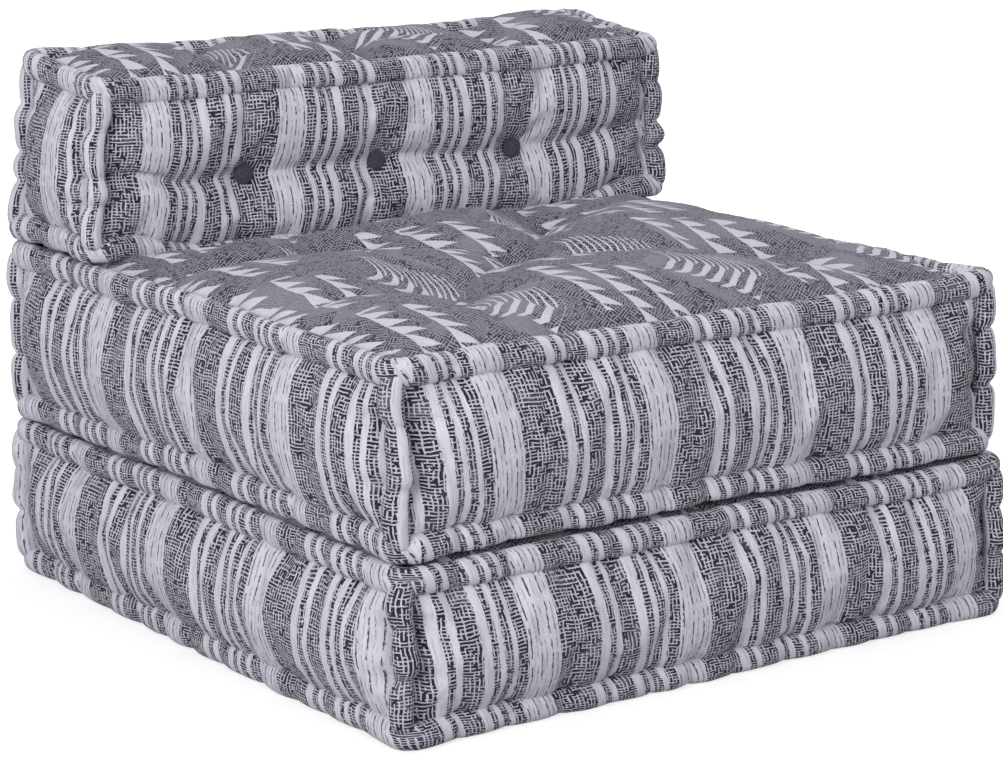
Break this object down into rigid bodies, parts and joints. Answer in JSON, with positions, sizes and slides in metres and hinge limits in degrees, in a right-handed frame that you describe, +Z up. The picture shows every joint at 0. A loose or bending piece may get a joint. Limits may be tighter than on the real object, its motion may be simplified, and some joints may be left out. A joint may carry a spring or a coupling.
{
  "type": "modular floor sofa",
  "caption": "Low floor sofa of stacked stuffed cushions with rolled stitched edges, a tufted seat and a buttoned back cushion.",
  "frame": {"origin": "on the floor, under the middle of the base cushion", "axes": "+Z up, -Y towards the front of the sofa, where the feet of a seated person are, +X towards the right as seen from the front"},
  "size_m": [0.778, 0.768, 0.5771],
  "materials": {
    "striped_cloth": "woven cotton, charcoal and pale grey warp stripes, matt",
    "patterned_cloth": "jacquard woven cotton in mid and pale grey geometric bands, matt",
    "button_cloth": "dark plain cloth over a button, matt",
    "twine": "waxed cotton twine",
    "stuffing": "loose cotton and polyester filling"
  },
  "bodies": {
    "base_cushion": {"base_stuffing": "stuffing", "base_top_panel": "patterned_cloth", "base_bottom_panel": "patterned_cloth", "base_front_band": "striped_cloth", "base_rear_band": "striped_cloth", "base_left_band": "striped_cloth", "base_right_band": "striped_cloth", "base_top_rolled_edge": "striped_cloth", "base_bottom_rolled_edge": "striped_cloth", "base_corner_rolls": "striped_cloth", "base_tuft_ties": "twine"},
    "seat_cushion": {"seat_stuffing": "stuffing", "seat_top_panel": "patterned_cloth", "seat_bottom_panel": "patterned_cloth", "seat_front_band": "striped_cloth", "seat_rear_band": "striped_cloth", "seat_left_band": "striped_cloth", "seat_right_band": "striped_cloth", "seat_top_rolled_edge": "striped_cloth", "seat_bottom_rolled_edge": "striped_cloth", "seat_corner_rolls": "striped_cloth", "seat_tuft_ties": "twine"},
    "back_cushion": {"back_stuffing": "stuffing", "back_top_panel": "patterned_cloth", "back_bottom_panel": "patterned_cloth", "back_front_band": "striped_cloth", "back_rear_band": "striped_cloth", "back_left_band": "striped_cloth", "back_right_band": "striped_cloth", "back_top_rolled_edge": "striped_cloth", "back_bottom_rolled_edge": "striped_cloth", "back_corner_rolls": "striped_cloth", "back_tuft_ties": "twine", "back_front_buttons": "button_cloth", "back_rear_buttons": "button_cloth", "back_button_ties": "twine"}
  },
  "joints": [
    {"name": "seat_lift", "type": "slide", "parent": "base_cushion", "child": "seat_cushion", "axis": [0, 0, 1], "range_m": [0, 0.25]},
    {"name": "back_lift", "type": "slide", "parent": "seat_cushion", "child": "back_cushion", "axis": [0, 0, 1], "range_m": [0, 0.25]}
  ]
}
